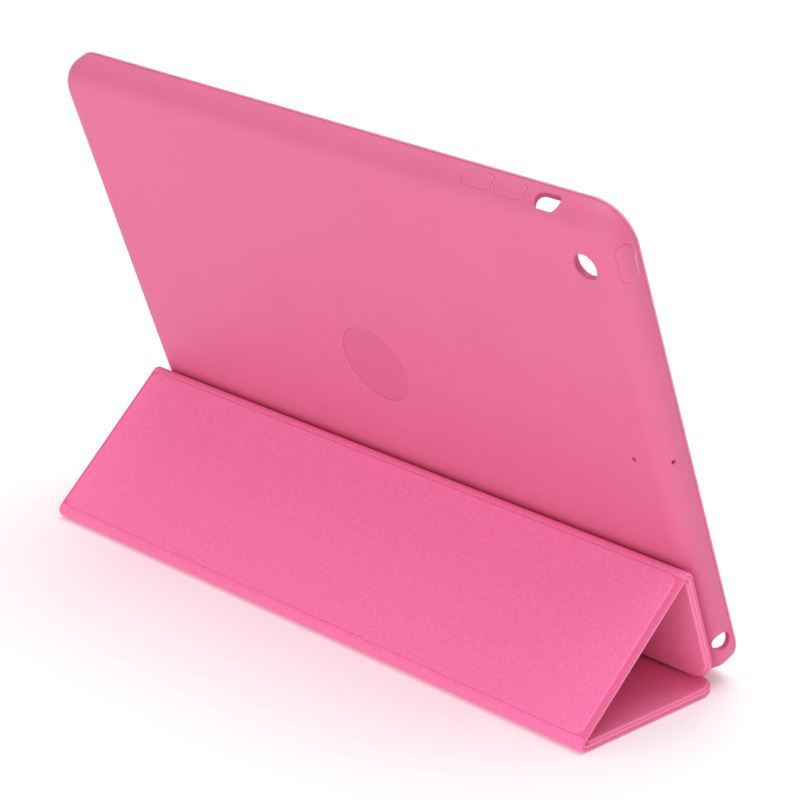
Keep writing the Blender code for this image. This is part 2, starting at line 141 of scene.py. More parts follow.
CORNER_STEPS = 12
ROLL_STEPS = 4
LIP_STEPS = 5
SLOPE_STEPS = 8
FOLD_STEPS = 20
BASE_FOLD_STEPS = 12
ROOT_STEPS = 16
GLUED_STEPS = 12
FULLEST_CORNER = 0.97       # largest corner radius of an opening, as a share of its half size
MOUTH_GROW = 0.03           # a cutter's mouth outside the leather: growth and height
MOUTH_HEIGHT = 0.8
LIP = 0.35                  # rounding of the leather into an opening
BUTTON_LIP = 0.2
SHELL_LIP = 0.2
SHELL_SPARE = 0.05          # the shell's openings are this much wider
SKIN_CUT = 1.6
SHELL_CUT = 5.0
SHARP_ANGLE = radians(40)

# A panel's ply is raised in the middle: the border and slope round that middle, the step's
# height, the visible edge's depth and rounding, the share of the inset kept beside a fold,
# the middle's corner radius, and the value on the slope's shoulder, a painted highlight,
# and the value at its foot, which makes the microfibre darker.
Form = namedtuple("Form", "border slope step edge roll kept corner shoulder foot")
LEATHER_FORM = Form(border=0.5, slope=0.65, step=LEATHER_STEP, edge=LEATHER_EDGE,
                    roll=LEATHER_ROLL, kept=0.2, corner=1.6, shoulder=0.45, foot=0.0)
LINING_FORM = Form(border=1.2, slope=0.8, step=LINING_STEP, edge=LINING_EDGE,
                   roll=LINING_ROLL, kept=0.1, corner=2.6, shoulder=-0.7, foot=1.0)


# ---- local frames ------------------------------------------------------------------------
def place(position, turn):
    """Millimetres in a frame turned about X at a point, to metres in the model's frame."""
    return (Matrix.Translation(position) @ Matrix.Rotation(turn, 4, "X")
            @ Matrix.Scale(MM, 4))


JOINTS = {joint["name"]: joint for joint in frame["joints"]}
HINGE = {name: Vector(joint["pos_m"]) for name, joint in JOINTS.items() if "pos_m" in joint}
rise = HINGE["tip_fold"] - HINGE["stand_fold"]
STAND_ANGLE = atan2(rise.z, rise.y)
REAR_RUN = hypot(rise.y, rise.z) / MM
BASE_RUN = (HINGE["base_panel_hinge"].y - HINGE["stand_fold"].y) / MM - SPINE_END
press = JOINTS["volume_up_press"]["axis"]
TRAY_LEAN = atan2(-press[2], press[1])

sideways = Vector((COVER_SHIFT, 0.0, 0.0)) * MM
BASE_FRAME = place(HINGE["base_panel_hinge"] + sideways, 0.0)
SPINE_FRAME = place(HINGE["spine_hinge"], 0.0)
SPINE_END_FRAME = place(HINGE["base_panel_hinge"], 0.0)
STAND_FRAME = place(HINGE["stand_fold"] + sideways, 0.0)
REAR_FRAME = place(HINGE["stand_fold"] + sideways, STAND_ANGLE - pi)
TOP_FRAME = place(HINGE["tip_fold"] + sideways, STAND_ANGLE - pi)
TIP_FRAME = place(HINGE["tip_fold"] + sideways, -pi - TIP_LEAN)
TRAY_FRAME = place(HINGE["base_panel_hinge"] + Vector(TRAY_OFFSET) * MM, pi - TRAY_LEAN)


# ---- materials ---------------------------------------------------------------------------
class Nodes:
    """A material's node tree, with short calls for the nodes used here."""

    def __init__(self, name, roughness, metallic=0.0):
        self.material = bpy.data.materials.new(name)
        self.material.use_nodes = True
        self.tree = self.material.node_tree
        self.shader = self.tree.nodes["Principled BSDF"]
        self.shader.inputs["Roughness"].default_value = roughness
        self.shader.inputs["Metallic"].default_value = metallic
        self.place = self.tree.nodes.new("ShaderNodeTexCoord").outputs["Object"]

    def link(self, output, target):
        self.tree.links.new(output, target)

    def noise(self, size_mm, detail=3.0, roughness=0.55, stretch=(1.0, 1.0, 1.0)):
        """Noise whose blotches are about size_mm across."""
        mapping = self.tree.nodes.new("ShaderNodeMapping")
        mapping.inputs["Scale"].default_value = stretch
        self.link(self.place, mapping.inputs["Vector"])
        node = self.tree.nodes.new("ShaderNodeTexNoise")
        node.inputs["Scale"].default_value = 1000.0 / size_mm
        node.inputs["Detail"].default_value = detail
        node.inputs["Roughness"].default_value = roughness
        self.link(mapping.outputs["Vector"], node.inputs["Vector"])
        return node.outputs["Fac"]

    def cells(self, size_mm):
        """Distance to the nearest border between cells about size_mm across."""
        node = self.tree.nodes.new("ShaderNodeTexVoronoi")
        node.feature = "DISTANCE_TO_EDGE"
        node.inputs["Scale"].default_value = 1000.0 / size_mm
        self.link(self.place, node.inputs["Vector"])
        return node.outputs["Distance"]

    def remap(self, value, low, high, out_low, out_high):
        node = self.tree.nodes.new("ShaderNodeMapRange")
        numbers = (low, high, out_low, out_high)
        for i, number in enumerate(numbers):
            node.inputs[i + 1].default_value = number
        self.link(value, node.inputs["Value"])
        return node.outputs["Result"]

    def mix(self, factor, first, second):
        """Blend of two colours, each an RGB tuple or another node's output."""
        node = self.tree.nodes.new("ShaderNodeMix")
        node.data_type = "RGBA"
        sockets = [s for s in node.inputs if s.type == "RGBA"]
        for socket, colour in zip(sockets, (first, second)):
            if isinstance(colour, tuple):
                socket.default_value = (*colour, 1.0)
            else:
                self.link(colour, socket)
        self.link(factor, node.inputs["Factor"])
        return next(s for s in node.outputs if s.type == "RGBA")

    def times(self, first, second):
        node = self.tree.nodes.new("ShaderNodeMath")
        node.operation = "MULTIPLY"
        self.link(first, node.inputs[0])
        self.link(second, node.inputs[1])
        return node.outputs["Value"]

    def bump(self, height, strength, distance_mm, under=None):
        node = self.tree.nodes.new("ShaderNodeBump")
        node.inputs["Strength"].default_value = strength
        node.inputs["Distance"].default_value = distance_mm * MM
        self.link(height, node.inputs["Height"])
        if under is not None:
            self.link(under, node.inputs["Normal"])
        return node.outputs["Normal"]

    def finish(self, colour, roughness=None, normal=None):
        self.link(colour, self.shader.inputs["Base Color"])
        if roughness is not None:
            self.link(roughness, self.shader.inputs["Roughness"])
        if normal is not None:
            self.link(normal, self.shader.inputs["Normal"])
        return self.material


def leather(name, colour, highlight_colour, dark):
    """Fine smooth dyed leather: faint clouding, pebble grain, and a painted highlight, broken up
    by noise, on the edges and shoulders that the mesh's value marks.
    """
    nodes = Nodes(name, 0.5)
    clouds = nodes.remap(nodes.noise(26.0, 4.0), 0.35, 0.68, 0.0, 0.3)
    grain = nodes.cells(0.55)
    creases = nodes.remap(grain, 0.0, 0.09, 0.30, 0.0)
    tint = nodes.mix(clouds, colour, dark)
    tint = nodes.mix(creases, tint, dark)
    # Painted highlight: the highlight colour where the mesh's value marks rolled edges and
    # raised shoulders, broken up by noise.
    painted_highlight_and_tone = nodes.tree.nodes.new("ShaderNodeAttribute")
    painted_highlight_and_tone.attribute_name = "painted_highlight_and_tone"
    highlight_breakup = nodes.remap(nodes.noise(2.4, 5.0), 0.3, 0.6, 0.45, 1.0)
    tint = nodes.mix(nodes.times(painted_highlight_and_tone.outputs["Fac"], highlight_breakup), tint, highlight_colour)
    rough = nodes.remap(nodes.noise(1.3, 5.0), 0.25, 0.75, 0.44, 0.60)
    pebbles = nodes.bump(nodes.remap(grain, 0.0, 0.16, 0.0, 1.0), 0.10, 0.05)
    normal = nodes.bump(nodes.noise(0.35, 4.0), 0.12, 0.05, pebbles)
    nodes.shader.inputs["Specular IOR Level"].default_value = 0.42
    return nodes.finish(tint, rough, normal)


def microfibre(name, colour, pale, dark):
    """Brushed microfibre in fine patches: darker where the mesh's value is 1, and paler where it
    is -1, a painted highlight.
    """
    nodes = Nodes(name, 0.92)
    patches = nodes.remap(nodes.noise(0.9, 4.0, 0.7), 0.38, 0.62, 0.0, 1.0)
    fibres = nodes.remap(nodes.noise(0.6, 5.0, 0.75), 0.36, 0.64, 0.0, 0.6)
    tint = nodes.mix(patches, colour, pale)
    tint = nodes.mix(fibres, tint, colour)
    painted_highlight_and_tone = nodes.tree.nodes.new("ShaderNodeAttribute")
    painted_highlight_and_tone.attribute_name = "painted_highlight_and_tone"
    tint = nodes.mix(nodes.remap(painted_highlight_and_tone.outputs["Fac"], 0.0, 1.0, 0.0, 0.6), tint, dark)
    # Painted highlight: paler where the value is negative, along the raised middle's shoulder.
    tint = nodes.mix(nodes.remap(painted_highlight_and_tone.outputs["Fac"], -1.0, 0.0, 0.8, 0.0), tint, pale)
    nap = nodes.bump(nodes.noise(0.45, 6.0, 0.75), 0.40, 0.10)
    normal = nodes.bump(nodes.noise(1.6, 3.0), 0.10, 0.15, nap)
    nodes.shader.inputs["Sheen Weight"].default_value = 0.15
    nodes.shader.inputs["Sheen Roughness"].default_value = 0.55
    nodes.shader.inputs["Sheen Tint"].default_value = (1.0, 0.72, 0.82, 1.0)
    nodes.shader.inputs["Specular IOR Level"].default_value = 0.15
    return nodes.finish(tint, None, normal)


def moulded(name, colour, dark, roughness):
    """Fine-textured moulded plastic or pressed board."""
    nodes = Nodes(name, roughness)
    tint = nodes.mix(nodes.remap(nodes.noise(4.0, 5.0), 0.3, 0.7, 0.0, 1.0), colour, dark)
    rough = nodes.remap(nodes.noise(0.6, 3.0), 0.3, 0.7, roughness - 0.08, roughness + 0.08)
    return nodes.finish(tint, rough, nodes.bump(nodes.noise(0.25, 2.0), 0.25, 0.03))


def brushed_steel(name):
    nodes = Nodes(name, 0.32, 1.0)
    lines = nodes.noise(0.4, 4.0, 0.6, (0.04, 1.0, 1.0))
    tint = nodes.mix(nodes.remap(lines, 0.3, 0.7, 0.0, 1.0), (0.52, 0.52, 0.54),
                     (0.68, 0.68, 0.70))
    rough = nodes.remap(lines, 0.3, 0.7, 0.24, 0.42)
    return nodes.finish(tint, rough, nodes.bump(lines, 0.15, 0.02))


# Each leather: its colour, its painted highlight colour, and a darker tone for clouding and
# grain.
LEATHER = leather("leather_pink", (0.75, 0.147, 0.300), (0.84, 0.27, 0.42),
                  (0.69, 0.125, 0.265))
# Painted light: the cover's leather is the same leather as the tray's, painted lighter to stand
# in for the light that hardly reaches the inside of the stand's triangle.
COVER_LEATHER_PAINTED_LIGHTER = leather("leather_cover_painted_lighter", (0.94, 0.225, 0.425), (0.94, 0.27, 0.46),
                        (0.88, 0.185, 0.370))
MARK_LEATHER = leather("leather_pressed", (0.70, 0.130, 0.275), (0.74, 0.16, 0.30),
                       (0.64, 0.110, 0.240))
FELT = microfibre("microfibre_pink", (0.98, 0.172, 0.400), (0.99, 0.255, 0.495),
                  (0.78, 0.100, 0.265))
SHELL_PLASTIC = moulded("shell_pink", (0.60, 0.12, 0.24), (0.50, 0.09, 0.19), 0.5)
BOARD = moulded("board_dark", (0.10, 0.09, 0.09), (0.06, 0.055, 0.055), 0.8)
STEEL = brushed_steel("magnet_steel")


# ---- mesh helpers, all in millimetres ----------------------------------------------------
def arc(centre, radius, start, end, steps):
    """Points of an arc, both ends included."""
    angles = [start + (end - start) * i / steps for i in range(steps + 1)]
    return [(centre[0] + radius * cos(a), centre[1] + radius * sin(a)) for a in angles]


def rounded_loop(low, high, radii, spans=(1, 1)):
    """A rectangle with its own radius at each corner, from the high corner round.

    spans says into how many parts the runs along X and along Y are divided.
    """
    corners = (
        (high[0], high[1], 0.0), (low[0], high[1], pi / 2),
        (low[0], low[1], pi), (high[0], low[1], 3 * pi / 2),
    )
    arcs = []
    for (x, y, start), radius in zip(corners, radii):
        centre = (x - radius if x == high[0] else x + radius,
                  y - radius if y == high[1] else y + radius)
        arcs.append(arc(centre, radius, start, start + pi / 2, CORNER_STEPS))
    loop = []
    for i, points in enumerate(arcs):
        loop += points
        first, last = points[-1], arcs[(i + 1) % 4][0]
        parts = spans[i % 2]
        for k in range(1, parts):
            loop.append((first[0] + (last[0] - first[0]) * k / parts,
                         first[1] + (last[1] - first[1]) * k / parts))
    return loop


def solid_from_rings(name, rings, matrix):
    """A closed mesh: rings of equal length joined in order, with the end rings filled.

    Each ring is (points, value); the value is stored on its vertices for the finish: a painted
    highlight on leather, and on microfibre darker where positive and a painted highlight where
    negative.
    """
    count = len(rings[0][0])
    verts = [matrix @ Vector(point) for points, _ in rings for point in points]
    faces = [tuple(range(count)), tuple(range((len(rings) - 1) * count, len(rings) * count))]
    for k in range(len(rings) - 1):
        for i in range(count):
            j = (i + 1) % count
            faces.append((k * count + i, k * count + j, (k + 1) * count + j,
                          (k + 1) * count + i))
    mesh = bpy.data.meshes.new(name)
    mesh.from_pydata(verts, [], faces)
    bm = bmesh.new()
    bm.from_mesh(mesh)
    bmesh.ops.recalc_face_normals(bm, faces=bm.faces)
    bm.to_mesh(mesh)
    bm.free()
    painted_highlight_and_tone = mesh.attributes.new("painted_highlight_and_tone", "FLOAT", "POINT")
    painted_highlight_and_tone.data.foreach_set("value", [amount for _, amount in rings for _ in range(count)])
    mesh.shade_smooth()
    mesh.set_sharp_from_angle(angle=SHARP_ANGLE)
    obj = bpy.data.objects.new(name, mesh)
    bpy.context.scene.collection.objects.link(obj)
    return obj


def dress(obj, slot, material, stands_for):
    """Material and the CAD nodes that the piece stands for, which are hidden; slot is not used.
    """
    obj.data.materials.clear()
    obj.data.materials.append(material)
    if stands_for:
        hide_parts(*stands_for)
    return obj


def carve(obj, cutters):
    """Take the cutters out of obj in one cut and delete them."""
    joined = bmesh.new()
    for cutter in cutters:
        joined.from_mesh(cutter.data)
        bpy.data.objects.remove(cutter, do_unlink=True)
    tool_mesh = bpy.data.meshes.new("cutters")
    joined.to_mesh(tool_mesh)
    joined.free()
    tool = bpy.data.objects.new("cutters", tool_mesh)
    bpy.context.scene.collection.objects.link(tool)
    cut = obj.modifiers.new("cut", "BOOLEAN")
    cut.operation = "DIFFERENCE"
    cut.solver = "EXACT"
    cut.object = tool
    bpy.context.view_layer.update()
    evaluated = obj.evaluated_get(bpy.context.evaluated_depsgraph_get())
    mesh = bpy.data.meshes.new_from_object(evaluated)
    obj.modifiers.clear()
    obj.data = mesh
    obj.data.shade_smooth()
    obj.data.set_sharp_from_angle(angle=SHARP_ANGLE)
    bpy.data.objects.remove(tool, do_unlink=True)


def rolled_edge(thickness, radius):
    """(inset, drop, value) from a sheet's face round its rolled edge to its other face; the
    value, 1 on the roll, gives a leather edge a painted highlight and makes a microfibre edge
    darker.
    """
    roll = []
    for i in range(ROLL_STEPS + 1):
        angle = pi / 2 * i / ROLL_STEPS
        roll.append((radius * (1 - sin(angle)), radius * (1 - cos(angle)), 1.0))
    return roll + [(0.0, thickness - BACK_CHAMFER, 0.3), (BACK_CHAMFER, thickness, 0.0)]


# ---- the tray ----------------------------------------------------------------------------
def tray_ring(inset, depth, painted_highlight_and_tone=0.0):
    """A loop round the tray, that far inside its outer form and below its back."""
    loop = rounded_loop((-TRAY_HALF + inset, inset), (TRAY_HALF - inset, TRAY_WIDTH - inset),
                        [TRAY_CORNER - inset] * 4, (24, 16))
    return [(x, y, -depth) for x, y in loop], painted_highlight_and_tone


def edge_rings(inset, steps):
    """Rings over the rounding between back and wall, from the back outwards."""
    radius = EDGE - inset
    rings = []
    for i in range(steps + 1):
        angle = pi / 2 * (1 - i / steps)
        rings.append(tray_ring(EDGE - radius * cos(angle), EDGE - radius * sin(angle)))
    return rings


def tray_skin():
    """The leather skin: grooved all round, then rolled over the front edge of the walls."""
    front = TRAY_DEPTH
    back_edge = front - FRONT_ROLL + 0.02
    rings = [tray_ring(inset, 0.0) for inset in FLAT_INSETS]
    rings += edge_rings(0.0, 18)
    rings += [tray_ring(inset, front - behind) for inset, behind in GROOVE]
    # Painted highlight along the leather rolled over the front edge, from the values 1 and 0.4
    # on these rings.
    rings.append(tray_ring(0.0, front - GROOVE_END, 1.0))
    for x, y in arc((FRONT_ROLL, front - FRONT_ROLL), FRONT_ROLL, pi, pi / 2, 6):
        rings.append(tray_ring(x, y, 1.0))
    for x, y in arc((WALL - INNER_ROLL, front - INNER_ROLL), INNER_ROLL, pi / 2, 0.0, 4):
        rings.append(tray_ring(x, y, 0.4))
    rings.append(tray_ring(WALL, back_edge))
    rings.append(tray_ring(SKIN + 0.1, back_edge))
    rings += reversed(edge_rings(SKIN, 12))
    rings += [tray_ring(inset, SKIN) for inset in reversed(FLAT_INSETS)]
    return solid_from_rings("tray_leather", rings, TRAY_FRAME)


def tray_shell():
    """The moulded shell inside the skin."""
    outer = SKIN + SKIN_GAP
    front = TRAY_DEPTH - outer
    rings = [tray_ring(inset, outer) for inset in FLAT_INSETS]
    rings += edge_rings(outer, 14)
    rings += [tray_ring(outer, front - SHELL_BEVEL), tray_ring(outer + SHELL_BEVEL, front)]
    rings += [tray_ring(WALL - SHELL_INNER_BEVEL, front),
              tray_ring(WALL, front - SHELL_INNER_BEVEL)]
    rings += reversed(edge_rings(WALL, 14))
    rings += [tray_ring(inset, WALL) for inset in reversed(FLAT_INSETS)]
    return solid_from_rings("tray_shell", rings, TRAY_FRAME)


def on_wall(side, along, depth, out):
    """A point on the tray's wall or its rounding, `out` beyond the leather's surface."""
    if depth < EDGE:
        angle = asin((EDGE - depth) / EDGE)
        inset = EDGE - (EDGE + out) * cos(angle)
        depth = EDGE - (EDGE + out) * sin(angle)
    else:
        inset = -out
    if side == "top":
        return along, TRAY_WIDTH - inset, -depth
    sign = 1 if side == "right" else -1
    bend = along - (TRAY_WIDTH - TRAY_CORNER)
    if bend <= 0:
        return sign * (TRAY_HALF - inset), along, -depth
    turn = bend / TRAY_CORNER
    reach = TRAY_CORNER - inset
    return (sign * (TRAY_HALF - TRAY_CORNER + reach * cos(turn)),
            TRAY_WIDTH - TRAY_CORNER + reach * sin(turn), -depth)


def on_back(along, up, out):
    return along, up, out


def opening_loop(centre, size, radius, grow):
    """A rounded opening in a wall, grown all round: (along, across) points."""
    half = (size[0] / 2 + grow, size[1] / 2 + grow)
    corner = min(radius + grow, FULLEST_CORNER * min(half))
    low = (centre[0] - half[0], centre[1] - half[1])
    high = (centre[0] + half[0], centre[1] + half[1])
    return rounded_loop(low, high, [max(corner, SHARP)] * 4, (2, 1))


def opening_cutter(surface, centre, size, radius, lip, depth):
    """A plug whose mouth flares, so that the leather rolls into the opening."""
    levels = [(lip + MOUTH_GROW, MOUTH_HEIGHT)]
    for i in range(LIP_STEPS + 1):
        angle = pi / 2 * i / LIP_STEPS
        levels.append((lip * (1 - sin(angle)), lip * (cos(angle) - 1)))
    levels.append((0.0, -depth))
    rings = []
    for grow, out in levels:
        loop = opening_loop(centre, size, radius, grow)
        rings.append(([surface(a, b, out) for a, b in loop], 0.0))
    return solid_from_rings("cutter", rings, TRAY_FRAME)


def wall_surface(side):
    """The wall as a surface whose openings sink straight in, square to the wall."""
    inward = {"right": (-1.0, 0.0), "left": (1.0, 0.0), "top": (0.0, -1.0)}[side]

    def surface(along, depth, out):
        x, y, z = on_wall(side, along, depth, max(out, 0.0))
        sunk = max(-out, 0.0)
        return x + sunk * inward[0], y + sunk * inward[1], z

    return surface


CAMERA = ((TRAY_HALF - 13.3, TRAY_WIDTH - 17.8), 4.3)
MICROPHONE = ((TRAY_HALF - 13.6, TRAY_WIDTH - 87.8), 0.8)
BUTTONS = (
    ("power_button", "right", (TRAY_WIDTH - 16.0, BUTTON_DEPTH), 12.7),
    ("volume_up", "top", (TRAY_HALF - 40.9, BUTTON_DEPTH), 12.2),
    ("volume_down", "top", (TRAY_HALF - 53.9, BUTTON_DEPTH), 12.2),
)
OPENINGS = (
    ("top", (TRAY_HALF - 26.2, 4.1), (9.2, 4.9), 2.4),
    ("right", (TRAY_WIDTH - 87.0, 3.8), (1.4, 1.4), 0.69),
    ("right", (15.4, 5.1), (6.2, 6.2), 3.08),
    ("left", (TRAY_WIDTH / 2, 5.6), (13.0, 6.2), 3.05),
    ("left", (TRAY_WIDTH / 2 + 34.0, 5.6), (30.0, 2.6), 1.28),
    ("left", (TRAY_WIDTH / 2 - 34.0, 5.6), (30.0, 2.6), 1.28),
)


def tray_cutters(lip, through, spare=0.0):
    """Every opening of the tray, each spare wider on every side.

    The lip is at most a sixth of an opening's width.
    """
    cutters = []
    for centre, radius in (CAMERA, MICROPHONE):
        wide = 2 * (radius + spare)
        cutters.append(opening_cutter(on_back, centre, (wide, wide), radius + spare,
                                      min(lip, radius / 3), through))
    for side, centre, size, radius in OPENINGS:
        wide = (size[0] + 2 * spare, size[1] + 2 * spare)
        cutters.append(opening_cutter(wall_surface(side), centre, wide, radius + spare,
                                      min(lip, size[1] / 6), through))
    for _, side, centre, length in BUTTONS:
        wide = (length + 2 * spare, BUTTON_HEIGHT + 2 * spare)
        cutters.append(opening_cutter(wall_surface(side), centre, wide,
                                      BUTTON_CORNER + spare, min(lip, BUTTON_LIP), through))
    return cutters


def button_cap(name, side, centre, length):
    """A leather pad, crowned and rolled down at its edge into the groove round it."""
    size = (length, BUTTON_HEIGHT)
    surface = wall_surface(side)
    rings = []
    for grow, out in PAD_RINGS:
        loop = opening_loop(centre, size, BUTTON_CORNER, grow)
        rings.append(([surface(a, b, out) for a, b in loop], 0.0))
    obj = solid_from_rings(name + "_pad", rings, TRAY_FRAME)
    dress(obj, "leather", LEATHER, (name + "_cap",))
    body = name if name == "power_button" else name + "_button"
    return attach(obj, body)


def build_tray():
    skin = tray_skin()
    mark_place = ((0.0, TRAY_WIDTH / 2), (2 * MARK_RADIUS,) * 2, MARK_RADIUS)
    mark = opening_cutter(on_back, *mark_place, MARK_LIP, MARK_DEPTH)
    carve(skin, tray_cutters(LIP, SKIN_CUT) + [mark])
    dress(skin, "leather", LEATHER, ("back_leather",))
    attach(skin, "tray")

    inlay = []
    for grow, out in MARK_RINGS:
        inlay.append(([(a, b, out) for a, b in opening_loop(*mark_place, grow)], 0.0))
    pressed = solid_from_rings("tray_mark", inlay, TRAY_FRAME)
    dress(pressed, "leather", MARK_LEATHER, ())
    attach(pressed, "tray")

    shell = tray_shell()
    carve(shell, tray_cutters(SHELL_LIP, SHELL_CUT, SHELL_SPARE))
    dress(shell, "shell_plastic", SHELL_PLASTIC, ("back_shell",))
    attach(shell, "tray")

    margin = WALL + FLOOR_MARGIN
    top = WALL + SKIN_GAP
    under = tuple((inset, FLOOR_LINING - drop) for inset, drop in FLOOR_EDGE[-2::-1])
    levels = FLOOR_EDGE + under
    rings = [tray_ring(margin + inset, top + drop) for inset, drop in levels]
    felt = solid_from_rings("tray_floor_lining", rings, TRAY_FRAME)
    holes = []
    for centre, radius in (CAMERA, MICROPHONE):
        wide = 2 * radius + FLOOR_HOLE_SPARE
        loop = opening_loop(centre, (wide, wide), wide / 2, 0.0)
        rings = [([(a, b, out) for a, b in loop], 0.0) for out in (FLOOR_CUT, -SHELL_CUT)]
        holes.append(solid_from_rings("cutter", rings, TRAY_FRAME))
    carve(felt, holes)
    dress(felt, "microfibre", FELT, ("floor_lining",))
    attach(felt, "tray")

    for button in BUTTONS:
        button_cap(*button)


# ---- the cover's plies -------------------------------------------------------------------
def ease(t):
    return t * t * (3 - 2 * t)


def ply(name, matrix, body, span, free, form, heights, sign):
    """One ply of a panel, from y = span[0] back to y = span[1].

    free says which of those two ends is a free edge and not a fold.  heights are those of
    the raised middle and of the hidden inner face, and sign is the way outwards.
    """
    middle, inner = heights
    rise_inset = form.border + form.slope
    near, far = span

    def corner_radii(inset, inside):
        soft = max(form.corner + rise_inset - inset, SMALL_CORNER)
        radii = []
        for is_free in (free[0], free[0], free[1], free[1]):
            if is_free:
                radii.append(max(OUTLINE_RADIUS - inset, soft if inside else SMALL_CORNER))
            else:
                radii.append(soft if inside else SHARP)
        return radii

    def ring(inset, z, painted_highlight_and_tone=0.0):
        """A loop that far in; beside a fold the border runs right to the panel's end."""
        inside = inset >= form.border
        beside = form.kept * inset if inside else 0.0
        top = near - (inset if free[0] else beside)
        low = far + (inset if free[1] else beside)
        half = COVER_HALF - inset
        loop = rounded_loop((-half, low), (half, top), corner_radii(inset, inside), (6, 2))
        return [(x, y, z) for x, y in loop], painted_highlight_and_tone

    def hidden_ring(inset, z):
        """A loop on the inner face, that far in on every side."""
        half = COVER_HALF - inset
        loop = rounded_loop((-half, far + inset), (half, near - inset),
                            corner_radii(inset, True), (6, 2))
        return [(x, y, z) for x, y in loop], 0.0

    rings = [ring(rise_inset + inset, middle) for inset in MIDDLE_RINGS]
    for i in range(SLOPE_STEPS + 1):
        t = i / SLOPE_STEPS
        # Painted highlight on the slope's shoulder; towards the foot, the form's foot value,
        # which makes the microfibre darker.
        painted_highlight_and_tone = form.shoulder if t < 0.4 else form.foot * min(t / 0.8, 1.0)
        height = middle - sign * form.step * ease(t)
        rings.append(ring(rise_inset - form.slope * t, height, painted_highlight_and_tone))
    face = middle - sign * form.step
    rings += [ring(0.85 * form.border, face, form.foot), ring(1.3 * form.roll, face, form.foot)]
    # The rolled edge's values: a painted highlight on the leather, darker on the microfibre.
    for inset, drop, painted_highlight_and_tone in rolled_edge(form.edge, form.roll):
        rings.append(ring(inset, face - sign * drop, painted_highlight_and_tone))
    back = face - sign * form.edge
    for inset, height in zip(INNER_RINGS, (back, inner, inner)):
        rings.append(hidden_ring(inset, height))
    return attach(solid_from_rings(name, rings, matrix), body)


def panel(name, matrix, span, free, top):
    """The leather and the microfibre of one panel; top is the raised leather's height."""
    heights = (top, top - LEATHER_STEP - LEATHER_INNER)
    face = ply(name + "_top_leather", matrix, name, span, free, LEATHER_FORM, heights, 1)
    dress(face, "leather", COVER_LEATHER_PAINTED_LIGHTER, (name + "_leather",))
    heights = (top - PANEL, top - PANEL + LINING_INNER)
    lining = ply(name + "_under_felt", matrix, name, span, free, LINING_FORM, heights, -1)
    dress(lining, "microfibre", FELT, (name + "_lining",))


# ---- strips across the joints, built at rest ---------------------------------------------
def bend_share(f):
    return 0.5 - sin(asin(1 - 2 * f) / 3)


def bending_strip(name, stations, half, matrix, slot, material, stands_for):
    """A strip across a joint.  Each station is (share, point, outward, depth, roll).

    share has no effect: it is set on the vertices and then taken back, and the strip follows
    no body; point is on the strip's face, in the frame's (y, z), outward is the face's normal
    there and depth the strip's depth.
    """
    rings = []
    shares = []
    for share, point, outward, depth, roll in stations:
        side = rolled_edge(depth, roll)
        outline = [(half - inset, drop) for inset, drop, _ in side]
        outline += [(-x, drop) for x, drop in reversed(outline)]
        rings.append(([(x, point[0] - outward[0] * drop, point[1] - outward[1] * drop)
                       for x, drop in outline], 0.0))
        shares += [share] * len(outline)
    obj = solid_from_rings(name, rings, matrix)
    rest = [vertex.co.copy() for vertex in obj.data.vertices]
    for vertex, share in zip(obj.data.vertices, shares):
        vertex.co = (0.0, bend_share(share), 0.0)
    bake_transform(obj)
    for vertex, place_at_rest in zip(obj.data.vertices, rest):
        vertex.co = place_at_rest
    return dress(obj, slot, material, stands_for)


def fold(name, matrix, turn):
    """Leather and microfibre round a fold axis; the next panel is turned by -turn."""
    plies = (
        ("leather", "leather", COVER_LEATHER_PAINTED_LIGHTER, LEATHER_STEP, 1, LEATHER_FORM),
        ("lining", "microfibre", FELT, PANEL - LINING_STEP, -1, LINING_FORM),
    )
    onward = (cos(pi - turn), sin(pi - turn))
    for kind, slot, material, radius, sign, form in plies:
        stations = [(0.0, (FOLD_REACH, -radius), (0.0, sign), form.edge, form.roll)]
        for i in range(FOLD_STEPS + 1):
            angle = -pi / 2 - turn * i / FOLD_STEPS
            way = (cos(angle), sin(angle))
            stations.append((i / FOLD_STEPS, (radius * way[0], radius * way[1]),
                             (-sign * way[0], -sign * way[1]), form.edge, form.roll))
        point = stations[-1][1]
        end = (point[0] + FOLD_REACH * onward[0], point[1] + FOLD_REACH * onward[1])
        stations.append((1.0, end, stations[-1][2], form.edge, form.roll))
        bending_strip(name + "_soft_" + kind, stations, COVER_HALF, matrix, slot,
                      material, (name + "_" + kind,))


def base_fold():
    """The plies that step down from the base panel to the spine."""
    top = PANEL - SPINE_LIFT - LEATHER_STEP
    bottom = -SPINE_LIFT + LINING_STEP
    plies = (
        ("leather", "leather", LEATHER, 1, top, SPINE_HALF, LEATHER_EDGE),
        ("lining", "microfibre", FELT, -1, bottom, -SPINE_HALF, BASE_FOLD_LINING),
    )
    for kind, slot, material, sign, start, end, depth in plies:
        stations = []
        for i in range(BASE_FOLD_STEPS + 1):
            t = i / BASE_FOLD_STEPS
            height = start + (end - start) * ease(t)
            thick = depth + (SPINE_THIN - depth) * ease(t)
            y = -SPINE_END + (2 * SPINE_END - FOLD_SHORT) * t
            stations.append((1 - t, (y, height), (0.0, sign), thick, SPINE_ROLL))
        bending_strip("base_fold_soft_" + kind, stations, SPINE_HALF_LENGTH,
                      SPINE_END_FRAME, slot, material,
                      ("base_fold_" + kind,))


